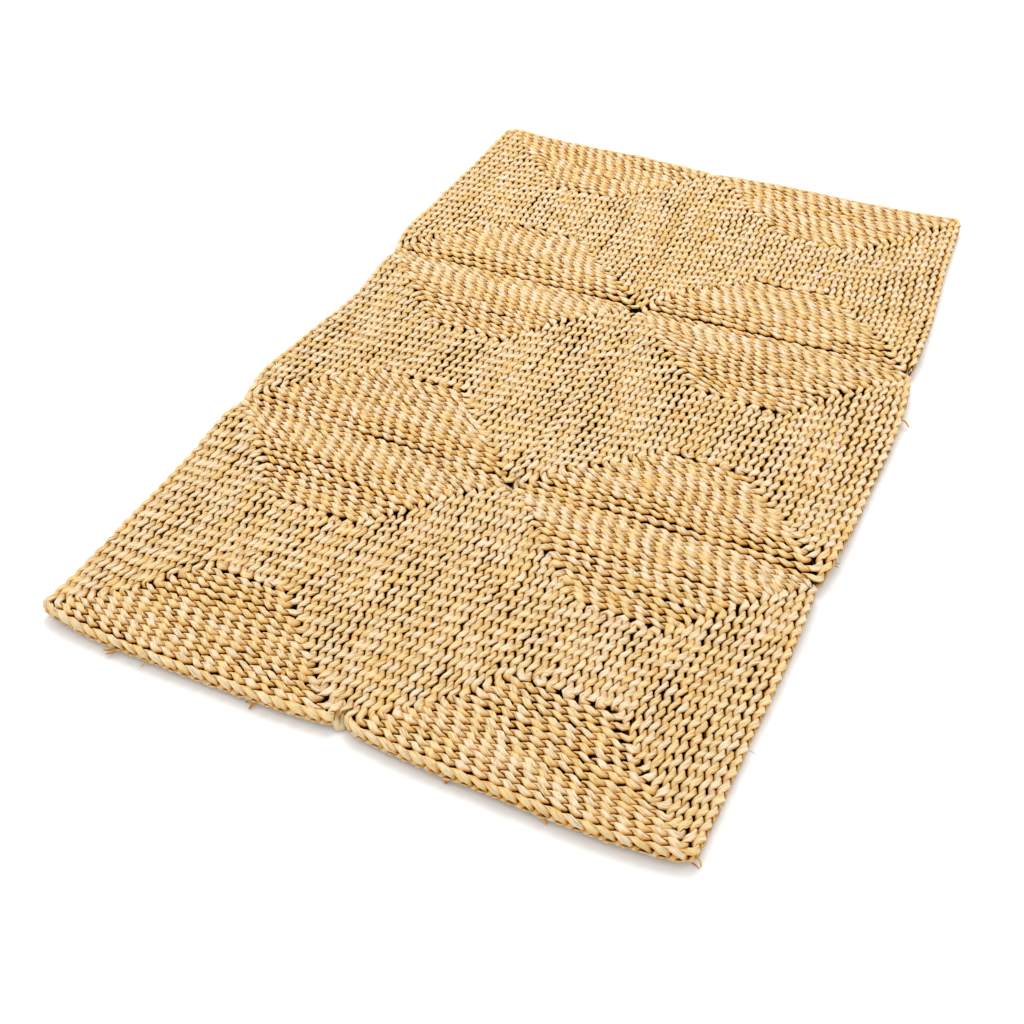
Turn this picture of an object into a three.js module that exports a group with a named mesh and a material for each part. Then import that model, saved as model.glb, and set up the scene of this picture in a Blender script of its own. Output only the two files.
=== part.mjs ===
// Corn husk rug of six square panels, laced edge to edge two across and three deep.
// Each panel is one flat three-strand plait set on its edge: straight rows to and fro in the
// core, then square rounds wound about them, so its face is ribbed in a square spiral.
// Millimetres, +Z up, origin on the floor under the middle of the rug.
import * as THREE from "three";

// Panel sizes, seam to seam
const panelWidth = 301;
const panelLength = 313;
const columnCount = 2;
const rowCount = 3;
const seamGap = 0.3;

// The plait on edge: its width is the height of the rug, its thickness the pitch of the rows
const rugThickness = 16;
const plaitPitch = 7;
const grooveDepth = 3.5;
const roundCount = 15;
const coreRowCount = 13;
const coreEndDepth = 5;

// Rounded turns: the outermost round, those inside it, and the steps in each quarter turn
const outerTurnRadius = 11;
const innerTurnRadius = 7;
const turnSteps = 2;

// Side wall: the foot of the outermost plait is tucked in, its face is plumb between two heights
const footInset = 2;
const faceBottom = 4;
const faceTop = 12;

// The panels arch up beside the two cross seams and lie flat again in the core
const archHeight = 6;
const archCrest = 35;
const archEnd = 100;

// Free edges curl up a little from the floor
const edgeCurl = { front: 3, back: 2, left: 1.5, right: 1.5 };
const edgeCurlReach = 55;

// Places along a side, from the panel's middle, where a round follows the arches and the bulges
const stationsAlongX = [-90, 0, 90];
const stationsAlongY = [-140, -121, -90, -56, 0, 56, 90, 121, 140];
const undersideInsets = [18, 36, 65, 86];

// How far each panel corner lies from a true grid, as handmade panels do
const cornerShifts = [
  { column: 0, row: 0, x: -10, y: -3 },
  { column: 1, row: 0, x: -2, y: -3 },
  { column: 2, row: 0, x: 1, y: -2 },
  { column: 0, row: 1, x: -8, y: 1 },
  { column: 1, row: 1, x: 1, y: -2 },
  { column: 2, row: 1, x: 7, y: -7 },
  { column: 0, row: 2, x: 1, y: -3 },
  { column: 1, row: 2, x: 9, y: 1 },
  { column: 2, row: 2, x: 11, y: 11 },
  { column: 0, row: 3, x: -1, y: 11 },
  { column: 1, row: 3, x: -12, y: 5 },
  { column: 2, row: 3, x: -2, y: 19 },
];

// How far each free edge bows out at its middle, and how far that bow leans to one end
const edgeBows = [
  { side: "front", column: 0, row: 0, bow: 8, lean: 1 },
  { side: "front", column: 1, row: 0, bow: 9, lean: -1 },
  { side: "right", column: 1, row: 0, bow: 2, lean: -1 },
  { side: "right", column: 1, row: 1, bow: 10, lean: -1 },
  { side: "right", column: 1, row: 2, bow: 2, lean: 2 },
  { side: "back", column: 1, row: 2, bow: 1, lean: 2 },
  { side: "back", column: 0, row: 2, bow: 0, lean: -2 },
  { side: "left", column: 0, row: 2, bow: 7, lean: 3 },
  { side: "left", column: 0, row: 1, bow: 2, lean: 6 },
  { side: "left", column: 0, row: 0, bow: 0, lean: 0 },
];

const outward = {
  front: { x: 0, y: -1 },
  back: { x: 0, y: 1 },
  left: { x: -1, y: 0 },
  right: { x: 1, y: 0 },
};

// A panel corner's real place
function cornerPlace(column, row) {
  const shift = cornerShifts.find((each) => each.column === column && each.row === row);
  return {
    x: (column - columnCount / 2) * panelWidth + shift.x,
    y: (row - rowCount / 2) * panelLength + shift.y,
  };
}

// How far a free edge bows out, a share of the way along it
function bowAt(edge, along) {
  return edge.bow * (1 - (2 * along - 1) ** 4) + edge.lean * Math.sin(2 * Math.PI * along);
}

// Moves a point of a true rectangular panel, given from its middle, to its real place
function realPlace(column, row, x, y) {
  const across = x / panelWidth + 0.5;
  const along = y / panelLength + 0.5;
  const frontLeft = cornerPlace(column, row);
  const frontRight = cornerPlace(column + 1, row);
  const backLeft = cornerPlace(column, row + 1);
  const backRight = cornerPlace(column + 1, row + 1);
  const blend = (axis) =>
    (1 - along) * ((1 - across) * frontLeft[axis] + across * frontRight[axis]) +
    along * ((1 - across) * backLeft[axis] + across * backRight[axis]);
  const place = { x: blend("x"), y: blend("y") };
  const share = { front: 1 - along, back: along, left: 1 - across, right: across };
  for (const edge of edgeBows) {
    if (edge.column !== column || edge.row !== row) continue;
    const alongEdge = edge.side === "front" || edge.side === "back" ? across : along;
    const bow = bowAt(edge, alongEdge) * share[edge.side] ** 2;
    place.x += outward[edge.side].x * bow;
    place.y += outward[edge.side].y * bow;
  }
  return place;
}

// Rise beside a cross seam, by the distance from it
function archRise(distance) {
  if (distance < archCrest) return archHeight * Math.sin((Math.PI / 2) * (distance / archCrest));
  return archHeight * (1 - THREE.MathUtils.smoothstep(distance, archCrest, archEnd));
}

// Rise of a free edge, by the distance from it
function curlRise(height, distance) {
  return height * (1 - THREE.MathUtils.smoothstep(distance, 0, edgeCurlReach));
}

// Height of the panel's underside above the floor at a point of a true panel
function underside(column, row, x, y) {
  const fromFront = panelLength / 2 + y;
  const fromBack = panelLength / 2 - y;
  let rise = 0;
  rise += row > 0 ? archRise(fromFront) : curlRise(edgeCurl.front, fromFront);
  rise += row < rowCount - 1 ? archRise(fromBack) : curlRise(edgeCurl.back, fromBack);
  if (column === 0) rise += curlRise(edgeCurl.left, panelWidth / 2 + x);
  if (column === columnCount - 1) rise += curlRise(edgeCurl.right, panelWidth / 2 - x);
  return rise;
}

// Points of one round, counter-clockwise from the front right turn, each with its place along
// the round: the whole number is the turn, and the fraction runs over that turn and side
const turnShare = 0.2;

function roundPoints(inset, radius) {
  const reach = { x: panelWidth / 2 - inset, y: panelLength / 2 - inset };
  const turns = [
    { x: 1, y: -1, sideAxis: "y" },
    { x: 1, y: 1, sideAxis: "x" },
    { x: -1, y: 1, sideAxis: "y" },
    { x: -1, y: -1, sideAxis: "x" },
  ];
  const points = [];
  turns.forEach((turn, number) => {
    const centre = { x: turn.x * (reach.x - radius), y: turn.y * (reach.y - radius) };
    for (let step = 0; step <= turnSteps; step += 1) {
      const angle = (Math.PI / 2) * (number - 1 + step / turnSteps);
      points.push({
        x: centre.x + radius * Math.cos(angle),
        y: centre.y + radius * Math.sin(angle),
        order: number + (turnShare * step) / turnSteps,
      });
    }
    const axis = turn.sideAxis;
    const half = reach[axis] - radius;
    const direction = -turn[axis];
    const stations = axis === "x" ? stationsAlongX : stationsAlongY;
    for (const station of direction > 0 ? stations : [...stations].reverse()) {
      if (Math.abs(station) > half - plaitPitch / 2) continue;
      const fraction = (station * direction + half) / (2 * half);
      const point = { order: number + turnShare + (1 - turnShare) * fraction };
      point[axis] = station;
      const other = axis === "x" ? "y" : "x";
      point[other] = turn[other] * reach[other];
      points.push(point);
    }
  });
  return points;
}

// Collects the corners and triangles of one closed solid
class SolidBuilder {
  constructor(column, row) {
    this.column = column;
    this.row = row;
    this.corners = [];
    this.faces = [];
  }

  addPoint(x, y, height) {
    const place = realPlace(this.column, this.row, x, y);
    const rise = underside(this.column, this.row, x, y);
    this.corners.push(place.x, place.y, rise + height);
    return this.corners.length / 3 - 1;
  }

  addRound(points, height) {
    return points.map((point) => ({
      index: this.addPoint(point.x, point.y, height),
      order: point.order,
    }));
  }

  addTriangle(a, b, c, facingDown) {
    if (facingDown) this.faces.push(a, c, b);
    else this.faces.push(a, b, c);
  }

  // Fills the strip between two rounds, which may have different numbers of points
  joinRounds(outer, inner, facingDown = false) {
    let outerStep = 0;
    let innerStep = 0;
    const orderAt = (round, step) =>
      round[step % round.length].order + 4 * Math.floor(step / round.length);
    while (outerStep < outer.length || innerStep < inner.length) {
      const outerNext = orderAt(outer, outerStep + 1);
      const innerNext = orderAt(inner, innerStep + 1);
      const a = outer[outerStep % outer.length].index;
      const b = inner[innerStep % inner.length].index;
      const outerFirst = innerStep >= inner.length || outerNext <= innerNext;
      if (outerFirst && outerStep < outer.length) {
        outerStep += 1;
        this.addTriangle(a, outer[outerStep % outer.length].index, b, facingDown);
      } else {
        innerStep += 1;
        this.addTriangle(a, inner[innerStep % inner.length].index, b, facingDown);
      }
    }
  }

  toGeometry() {
    const geometry = new THREE.BufferGeometry();
    geometry.setAttribute("position", new THREE.Float32BufferAttribute(this.corners, 3));
    geometry.setIndex(this.faces);
    geometry.computeVertexNormals();
    return geometry;
  }
}

// The core: straight ribs front to back, each joined to the next by a turn at alternate ends.
// Returns the round of points along its rim, to meet the innermost round
function addCore(solid) {
  const halfLength = panelLength / 2 - roundCount * plaitPitch;
  const halfWidth = (coreRowCount * plaitPitch) / 2;
  const lineCount = 2 * coreRowCount + 1;
  const rowPlaces = [-halfLength, coreEndDepth - halfLength, halfLength - coreEndDepth, halfLength];
  const grooveHeight = rugThickness - grooveDepth;
  const grid = [];
  for (let line = 0; line < lineCount; line += 1) {
    const x = -halfWidth + (line * plaitPitch) / 2;
    const onRib = line % 2 === 1;
    const onRim = line === 0 || line === lineCount - 1;
    const turnsAtBack = line % 4 === 2;
    const heights = rowPlaces.map((place, end) => {
      if (end === 0 || end === rowPlaces.length - 1 || onRim) return grooveHeight;
      if (onRib) return rugThickness;
      return (end === 2) === turnsAtBack ? rugThickness : grooveHeight;
    });
    grid.push(rowPlaces.map((y, end) => solid.addPoint(x, y, heights[end])));
  }
  for (let line = 0; line + 1 < lineCount; line += 1) {
    for (let end = 0; end + 1 < rowPlaces.length; end += 1) {
      solid.addTriangle(grid[line][end], grid[line + 1][end], grid[line + 1][end + 1]);
      solid.addTriangle(grid[line][end], grid[line + 1][end + 1], grid[line][end + 1]);
    }
  }
  const rim = [];
  const last = lineCount - 1;
  const top = rowPlaces.length - 1;
  const sideOrder = (turn, fraction) => turn + turnShare / 2 + (1 - turnShare / 2) * fraction;
  for (let end = 0; end < top; end += 1) {
    const fraction = (rowPlaces[end] + halfLength) / (2 * halfLength);
    rim.push({ index: grid[last][end], order: sideOrder(0, fraction) });
  }
  for (let line = last; line > 0; line -= 1) {
    rim.push({ index: grid[line][top], order: sideOrder(1, 1 - line / last) });
  }
  for (let end = top; end > 0; end -= 1) {
    const fraction = (halfLength - rowPlaces[end]) / (2 * halfLength);
    rim.push({ index: grid[0][end], order: sideOrder(2, fraction) });
  }
  for (let line = 0; line < last; line += 1) {
    rim.push({ index: grid[line][0], order: sideOrder(3, line / last) });
  }
  return rim;
}

// One wound panel: its foot, its side wall, the ribs of its rounds, its core and its underside
function buildPanel(column, row) {
  const solid = new SolidBuilder(column, row);
  const edge = seamGap / 2;
  const foot = solid.addRound(roundPoints(footInset, outerTurnRadius - footInset), 0);
  const faceLow = solid.addRound(roundPoints(edge, outerTurnRadius), faceBottom);
  const faceHigh = solid.addRound(roundPoints(edge, outerTurnRadius), faceTop);
  solid.joinRounds(foot, faceLow);
  solid.joinRounds(faceLow, faceHigh);

  let previous = faceHigh;
  for (let round = 0; round < roundCount; round += 1) {
    const ridgeInset = (round + 0.5) * plaitPitch;
    const ridge = solid.addRound(roundPoints(ridgeInset, innerTurnRadius), rugThickness);
    solid.joinRounds(previous, ridge);
    previous = ridge;
    if (round < roundCount - 1) {
      const grooveInset = (round + 1) * plaitPitch;
      const grooveHeight = rugThickness - grooveDepth;
      const groove = solid.addRound(roundPoints(grooveInset, innerTurnRadius), grooveHeight);
      solid.joinRounds(previous, groove);
      previous = groove;
    }
  }
  solid.joinRounds(previous, addCore(solid));

  let below = foot;
  for (const inset of [...undersideInsets, roundCount * plaitPitch]) {
    const next = solid.addRound(roundPoints(inset, innerTurnRadius), 0);
    solid.joinRounds(below, next, true);
    below = next;
  }
  const middle = solid.addPoint(0, 0, 0);
  below.forEach((point, step) => {
    solid.addTriangle(point.index, below[(step + 1) % below.length].index, middle, true);
  });
  return solid.toGeometry();
}

const cornHusk = new THREE.MeshStandardMaterial({ color: 0xd8b581, roughness: 0.75, metalness: 0 });
const columnNames = ["left", "right"];
const rowNames = ["front", "middle", "back"];

const rug = new THREE.Group();
rowNames.forEach((rowName, row) => {
  columnNames.forEach((columnName, column) => {
    const panel = new THREE.Mesh(buildPanel(column, row), cornHusk);
    panel.name = `panel_${rowName}_${columnName}`;
    rug.add(panel);
  });
});

const extent = new THREE.Box3().setFromObject(rug);
const middle = extent.getCenter(new THREE.Vector3());
rug.position.set(-middle.x, -middle.y, -extent.min.z);
rug.updateMatrixWorld(true);

export default rug;
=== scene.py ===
import math

import bpy
import numpy as np
from mathutils import Matrix, Vector


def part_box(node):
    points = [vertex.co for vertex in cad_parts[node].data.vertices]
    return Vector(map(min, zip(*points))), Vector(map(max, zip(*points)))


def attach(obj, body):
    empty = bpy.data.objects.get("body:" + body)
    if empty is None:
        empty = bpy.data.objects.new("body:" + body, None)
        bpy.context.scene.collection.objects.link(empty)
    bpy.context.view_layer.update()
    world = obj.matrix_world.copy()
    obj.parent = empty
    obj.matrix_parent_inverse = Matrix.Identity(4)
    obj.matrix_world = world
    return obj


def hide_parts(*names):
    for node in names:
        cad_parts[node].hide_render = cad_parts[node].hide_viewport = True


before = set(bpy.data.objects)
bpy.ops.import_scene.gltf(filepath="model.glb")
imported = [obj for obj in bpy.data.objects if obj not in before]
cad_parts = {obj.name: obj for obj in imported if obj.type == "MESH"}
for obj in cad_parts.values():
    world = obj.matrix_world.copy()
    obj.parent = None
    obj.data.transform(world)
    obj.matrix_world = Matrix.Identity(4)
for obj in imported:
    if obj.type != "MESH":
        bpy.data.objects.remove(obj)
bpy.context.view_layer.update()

# A corn husk rug: six square panels, each wound from one flat three-strand plait set on its edge.
# Sizes in the dictionaries are millimetres; meshes are built in metres.
mm = 0.001
print("frame loaded,", len(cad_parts), "panels")


# Camera, at the photograph's angle
camera = {
    "azimuth": 26.4,        # degrees, turned from looking along the rug's length
    "elevation": 44.0,      # degrees above the floor
    "roll": 1.5,            # degrees
    "distance": 1274.0,
    "target": (8.7, -180.8, 0.0),
    "lens": 46.64,
    "sensor": 36.0,
    "clip": (0.01, 50),     # metres
}


def makeCamera():
    azimuth = math.radians(camera["azimuth"])
    elevation = math.radians(camera["elevation"])
    roll = math.radians(camera["roll"])
    forward = Vector((
        -math.sin(azimuth) * math.cos(elevation),
        math.cos(azimuth) * math.cos(elevation),
        -math.sin(elevation),
    ))
    level = forward.cross(Vector((0, 0, 1))).normalized()
    down = forward.cross(level)
    right = math.cos(roll) * level + math.sin(roll) * down
    up = math.sin(roll) * level - math.cos(roll) * down
    place = (Vector(camera["target"]) - forward * camera["distance"]) * mm
    lensData = bpy.data.cameras.new("photo_camera")
    lensData.lens = camera["lens"]
    lensData.sensor_width = camera["sensor"]
    lensData.clip_start = camera["clip"][0]
    lensData.clip_end = camera["clip"][1]
    view = bpy.data.objects.new("photo_camera", lensData)
    turn = Matrix((right, up, -forward)).transposed().to_4x4()
    view.matrix_world = Matrix.Translation(place) @ turn
    bpy.context.scene.collection.objects.link(view)
    bpy.context.scene.camera = view


makeCamera()
print("camera placed")


# Layout of the rug, the same as the solids'
rug = {
    "panelWidth": 301.0,
    "panelLength": 313.0,
    "columns": 2,
    "rows": 3,
    "thickness": 16.0,
    "pitch": 7.0,           # from one row of plait to the next
    "rounds": 15,
    "coreRows": 13,
    "seamGap": 0.3,
    "outerTurn": 11.0,
    "archHeight": 6.0,      # the panels arch up beside the cross seams
    "archCrest": 35.0,
    "archEnd": 100.0,
    "curl": {"front": 3.0, "back": 2.0, "left": 1.5, "right": 1.5},
    "curlReach": 55.0,
    "rimPoints": 41,        # on each side of a panel's outline
}

# How far each panel corner lies from a true grid: (column, row): (x, y)
cornerShifts = {
    (0, 0): (-10, -3), (1, 0): (-2, -3), (2, 0): (1, -2),
    (0, 1): (-8, 1), (1, 1): (1, -2), (2, 1): (7, -7),
    (0, 2): (1, -3), (1, 2): (9, 1), (2, 2): (11, 11),
    (0, 3): (-1, 11), (1, 3): (-12, 5), (2, 3): (-2, 19),
}

# How far each free edge bows out at its middle, and leans to one end: (side, column, row)
edgeBows = {
    ("front", 0, 0): (8, 1), ("front", 1, 0): (9, -1),
    ("right", 1, 0): (2, -1), ("right", 1, 1): (10, -1), ("right", 1, 2): (2, 2),
    ("back", 1, 2): (1, 2), ("back", 0, 2): (0, -2),
    ("left", 0, 2): (7, 3), ("left", 0, 1): (2, 6), ("left", 0, 0): (0, 0),
}

outward = {"front": (0, -1), "back": (0, 1), "left": (-1, 0), "right": (1, 0)}


def cornerPlace(column, row):
    shift = cornerShifts[column, row]
    x = (column - rug["columns"] / 2) * rug["panelWidth"] + shift[0]
    y = (row - rug["rows"] / 2) * rug["panelLength"] + shift[1]
    return np.array((x, y))


def realPlace(column, row, x, y):
    # moves points of a true rectangular panel, given from its middle, to their real place
    across = x / rug["panelWidth"] + 0.5
    along = y / rug["panelLength"] + 0.5
    a = across[:, None]
    b = along[:, None]
    place = (1 - b) * ((1 - a) * cornerPlace(column, row) + a * cornerPlace(column + 1, row))
    place = place + b * (
        (1 - a) * cornerPlace(column, row + 1) + a * cornerPlace(column + 1, row + 1)
    )
    share = {"front": 1 - along, "back": along, "left": 1 - across, "right": across}
    for (side, edgeColumn, edgeRow), (bow, lean) in edgeBows.items():
        if (edgeColumn, edgeRow) != (column, row):
            continue
        t = across if side in ("front", "back") else along
        out = bow * (1 - (2 * t - 1) ** 4) + lean * np.sin(2 * math.pi * t)
        place += np.array(outward[side]) * (out * share[side] ** 2)[:, None]
    return place


def smoothStep(value, low, high):
    t = np.clip((value - low) / (high - low), 0, 1)
    return t * t * (3 - 2 * t)


def archRise(distance):
    crest = rug["archCrest"]
    rising = np.sin(math.pi / 2 * np.clip(distance / crest, 0, 1))
    falling = 1 - smoothStep(distance, crest, rug["archEnd"])
    return rug["archHeight"] * np.where(distance < crest, rising, falling)


def curlRise(side, distance):
    return rug["curl"][side] * (1 - smoothStep(distance, 0, rug["curlReach"]))


def underside(column, row, x, y):
    # height of the panel's underside above the floor
    fromFront = rug["panelLength"] / 2 + y
    fromBack = rug["panelLength"] / 2 - y
    rise = archRise(fromFront) if row > 0 else curlRise("front", fromFront)
    rise = rise + (archRise(fromBack) if row < rug["rows"] - 1 else curlRise("back", fromBack))
    if column == 0:
        rise = rise + curlRise("left", rug["panelWidth"] / 2 + x)
    if column == rug["columns"] - 1:
        rise = rise + curlRise("right", rug["panelWidth"] / 2 - x)
    return rise


def outlinePoints():
    # the rim of a true panel, corner by corner
    halfX = rug["panelWidth"] / 2 - rug["seamGap"] / 2
    halfY = rug["panelLength"] / 2 - rug["seamGap"] / 2
    turn = rug["outerTurn"]
    span = np.linspace(-1, 1, rug["rimPoints"])
    flat = span * 0
    x = np.concatenate((span * (halfX - turn), flat + halfX, span * (halfX - turn), flat - halfX))
    y = np.concatenate((flat - halfY, span * (halfY - turn), flat + halfY, span * (halfY - turn)))
    return x, y


panelNodes = {}
for row, rowName in enumerate(("front", "middle", "back")):
    for column, columnName in enumerate(("left", "right")):
        panelNodes[column, row] = f"panel_{rowName}_{columnName}"


def originShift():
    # the solids' origin is under the middle of the rug, so compare each panel's box with its outline
    x, y = outlinePoints()
    found = []
    for (column, row), node in panelNodes.items():
        place = realPlace(column, row, x, y)
        low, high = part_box(node)
        middle = np.array((low + high)[:2]) / 2 / mm
        found.append(middle - (place.min(0) + place.max(0)) / 2)
    return np.mean(found, axis=0)


shiftToFrame = originShift()
print("origin shift in mm:", shiftToFrame.round(2))


# The plait: three flat bundles of husk, crossing over and under, wound on edge
plait = {
    "strands": 3,
    "cycle": 40.4,          # one bundle's full turn from edge to edge and back, along the row
    "swing": 6.0,           # half the way that a bundle swings up and down
    "weave": 1.8,           # half the way that it passes from face to face
    "turn": 2.3,            # how far it turns its flat side outward on a face
    "flat": 2.5,            # how long it stays up on the edge before it dives
    "flatAtEdge": 1.7,      # the same in the outermost row at a free edge
    "turnHalfWidth": 3.0,   # bundle's section where it turns over the edge, in lengthwise rows
    "turnHalfDepth": 1.95,
    "faceHalfWidth": 2.9,   # and where it lies on a face
    "faceHalfDepth": 1.5,
    "edgeHalfWidth": 3.7,   # and on the face of a free edge
    "edgeSwing": 5.3,       # swing and weave in the outermost row at a free edge
    "edgeWeave": 1.6,
    "crosswiseHalfWidth": 3.15,     # section, weave and flat in rows that lie across the rug
    "crosswiseWeave": 2.35,
    "crosswiseFlat": 2.1,
    "crosswiseShade": 0.4,  # how much darker their gaps are, which are seen from the side
    "inLight": (0.4, 1.9),  # how far out on a free face a bundle comes into full light
    "cornerFullness": 0.22, # how much fuller the plait gets where it turns a corner
    "lowerFullness": 0.35,  # and in its lower half, where the rows are pressed together
    "lowerCornerFullness": 0.5,     # and there again at a corner
    "lowerReach": (-0.1, 0.5),      # heights, as shares of the swing, between which that sets in
    # the section's corners, as shares of the half width and depth: a folded husk with one crease
    "section": (
        (1.0, 0.0), (0.74, 0.8), (0.22, 0.98), (-0.2, 0.8), (-0.7, 0.9), (-1.0, 0.0), (0.0, -0.9),
    ),
    "sharp": (0, 1, 4, 5),  # corners of the section that stay sharp along the bundle
    # steps of one cycle, in degrees from the top turn
    "steps": (-120, -90, -64, -40, -14, 14, 40, 64, 90, 120, 180),
    "endTaper": 16.0,       # length over which the plait's last end thins out
    "endPast": 2.0,         # how far past the end it would be thinned to nothing
    "tones": (0.35, 0.65),  # how much of the tone is the stitch's own, and the husk's
    "stitchesPerHusk": 3,
}

# How the plait's route through a panel is traced
tracing = {
    "step": 0.75,           # between points
    "turnPoints": 7,        # on each rounded turn
    "coreTurn": 0.49,       # radius of the core's turns, as a share of the pitch or of a short leg
    "tightRadius": 3.6,     # of the outer turns where four panels meet
    "tightTurns": 18,       # how many of the last turns may be tight
    "blur": 17,             # points over which bends and headings are evened out
    "leanBlur": 21,         # and the lean at a free edge
    "fullCorner": 1 / 7.0,  # bend per mm that counts as a whole corner
    "straight": 0.99,       # share of a step that a straight row covers along its own axis
    "endClearance": 0.1,    # phase kept free between a bundle's ends and the next ring
    "lastRise": 0.2,        # how far the last end climbs past its corner, as a share of the pitch
    "seeds": (11, 7, 31),   # first panel's, then added for each column and row
    "grainUnit": 10.0,      # length along a husk to one unit of its grain
    "grainGap": 500.0,      # units between the bundles' grains, so that no two are alike
}

# What is uneven by hand: how much, and over what length it changes
uneven = {
    "stitch": 1.5,          # how far a stitch slips along its row
    "stitchWave": 21,
    "section": 0.24,        # share of the section's width
    "sectionDepth": 0.12,   # and of its depth
    "sectionWave": 13,
    "swing": 0.4,
    "swingWave": 17,
    "weave": 0.12,          # share of the weave
    "weaveWave": 23,
    "crease": 3.0,          # how far the ripples move round the section, in radians
    "creaseWave": 29,
    "ripples": ((3, 0.06, 1), (5, 0.04, -2)),   # to a turn; height; how fast each one moves
    "sideways": 0.45,       # one row's own wander
    "sidewaysWaves": ((31, 0.6), (13, 0.4)),
    "together": 1.6,        # wander that neighbouring rows share
    "togetherWaves": (150.0, 85.0, 55.0),
    "togetherInset": (3, 45),       # from the panel's rim, where it sets in
    "lift": 0.5,
    "liftWave": 45,
    "lean": 5.0,            # degrees
    "leanWave": 38,
    "turnRadius": (3.8, 6.8),
    "edgeLean": 5.0,        # degrees by which the outermost row leans in at a free edge
    "edgeLeanReach": 10.0,
}

# Neighbouring rows nest: the stitches of the next row stand this far along, per mm across
nesting = {
    "lengthwise": 0.1,
    "crosswise": -0.28,
    "lengthwiseSlip": 0.8,  # how far a whole row may be out of step, in mm
    "crosswiseSlip": 1.7,
    "startRange": 13,       # a panel's first stitch lies within this length
    "shortest": 30,         # rows under this length follow their neighbours
    "cornerReach": 24.0,    # length before and after a corner that takes up what doesn't fit
    "cornerShare": 0.3,     # but no more than this share of a row
}

# Rows beside a cross seam stand a little apart, more in some places than in others
seamSpread = {
    "even": (0, 3.5, 10.5, 17.5, 24.5, 66.5),       # distance from the seam, in an even winding
    "real": (0, 3.4, 11.4, 18.9, 26.2, 66.5),       # and where the spread is full
    "amount": 0.45,         # share of the full spread, and how it swings along the seam
    "swing": 0.35,
    "longWave": 27,         # mm to a radian
    "shortWave": 9.5,
    "columnShift": 2.1,
    "rowShift": 1.3,
}

# Which way round each panel is wound, and the corner that is pulled in tight, where four panels meet
windings = {
    (0, 0): {"flipX": False, "flipY": True, "tight": (1, 1)},
    (1, 0): {"flipX": True, "flipY": False, "tight": (-1, 1)},
    (0, 1): {"flipX": False, "flipY": False, "tight": (1, -1)},
    (1, 1): {"flipX": True, "flipY": True, "tight": (-1, -1)},
    (0, 2): {"flipX": True, "flipY": False, "tight": None},
    (1, 2): {"flipX": False, "flipY": True, "tight": None},
}


def windingCorners():
    # corners of the plait's route: core rows to and fro, then square rounds outward
    pitch = rug["pitch"]
    coreX = pitch * (rug["coreRows"] - 1) / 2
    coreY = rug["panelLength"] / 2 - rug["rounds"] * pitch - pitch / 2
    corners = []
    for number in range(rug["coreRows"]):
        x = -coreX + number * pitch
        direction = 1 if number % 2 == 0 else -1
        corners += [(x, -direction * coreY), (x, direction * coreY)]
    corners.pop()
    for number in range(rug["rounds"]):
        x = coreX + (number + 1) * pitch
        y = coreY + (number + 1) * pitch
        corners += [(x - pitch, y), (-x, y), (-x, -y), (x, -y)]
    corners.append((x, y + pitch * tracing["lastRise"]))
    return np.array(corners)


def windingRoute(seed, flips):
    # the same route with rounded turns, as closely spaced points
    draw = np.random.default_rng(seed)
    corners = windingCorners()
    coreCount = 2 * rug["coreRows"] - 1
    low, high = uneven["turnRadius"]
    route = [corners[0]]
    for number in range(1, len(corners) - 1):
        here = corners[number]
        back = corners[number - 1] - here
        ahead = corners[number + 1] - here
        backLength = np.linalg.norm(back)
        aheadLength = np.linalg.norm(ahead)
        back = back / backLength
        ahead = ahead / aheadLength
        if number < coreCount - 1:
            radius = rug["pitch"] * tracing["coreTurn"]
        else:
            radius = draw.uniform(low, high)
            real = np.sign(here) * (-1 if flips["flipX"] else 1, -1 if flips["flipY"] else 1)
            if tuple(real) == flips["tight"] and number > len(corners) - tracing["tightTurns"]:
                radius = tracing["tightRadius"]
        radius = min(radius, backLength * tracing["coreTurn"], aheadLength * tracing["coreTurn"])
        for t in np.linspace(0, math.pi / 2, tracing["turnPoints"]):
            fromBack = back * radius * (1 - math.sin(t))
            fromAhead = ahead * radius * (1 - math.cos(t))
            route.append(here + fromBack + fromAhead)
    route.append(corners[-1])
    route = np.array(route)
    lengths = np.concatenate(([0], np.cumsum(np.linalg.norm(np.diff(route, axis=0), axis=1))))
    keep = np.concatenate(([True], np.diff(lengths) > 1e-6))
    route = route[keep]
    lengths = lengths[keep]
    even = np.arange(0, lengths[-1], tracing["step"])
    return np.column_stack([np.interp(even, lengths, route[:, axis]) for axis in range(2)])


def wander(draw, length, wave, step=tracing["step"]):
    # smooth random values along a route, about -1 to 1, that change over the wave length
    count = int(length / wave) + 4
    knots = draw.uniform(-1, 1, count)
    place = np.arange(int(length / step) + 2) * step / wave
    low = place.astype(int)
    t = place - low
    t = t * t * (3 - 2 * t)
    return knots[low] * (1 - t) + knots[low + 1] * t


def sharedWander(x, y, seed):
    # a smooth random push over the plan of a panel, the same for rows that lie together
    draw = np.random.default_rng(seed)
    push = np.zeros((len(x), 2))
    longest = uneven["togetherWaves"][0]
    for wave in uneven["togetherWaves"]:
        for axis in range(2):
            angle = draw.uniform(0, 2 * math.pi)
            start = draw.uniform(0, 2 * math.pi)
            along = x * math.cos(angle) + y * math.sin(angle)
            push[:, axis] += np.sin(2 * math.pi * along / wave + start) * wave / longest
    inset = np.minimum(rug["panelWidth"] / 2 - np.abs(x), rug["panelLength"] / 2 - np.abs(y))
    return push * (uneven["together"] * smoothStep(inset, *uneven["togetherInset"]))[:, None]


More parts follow.
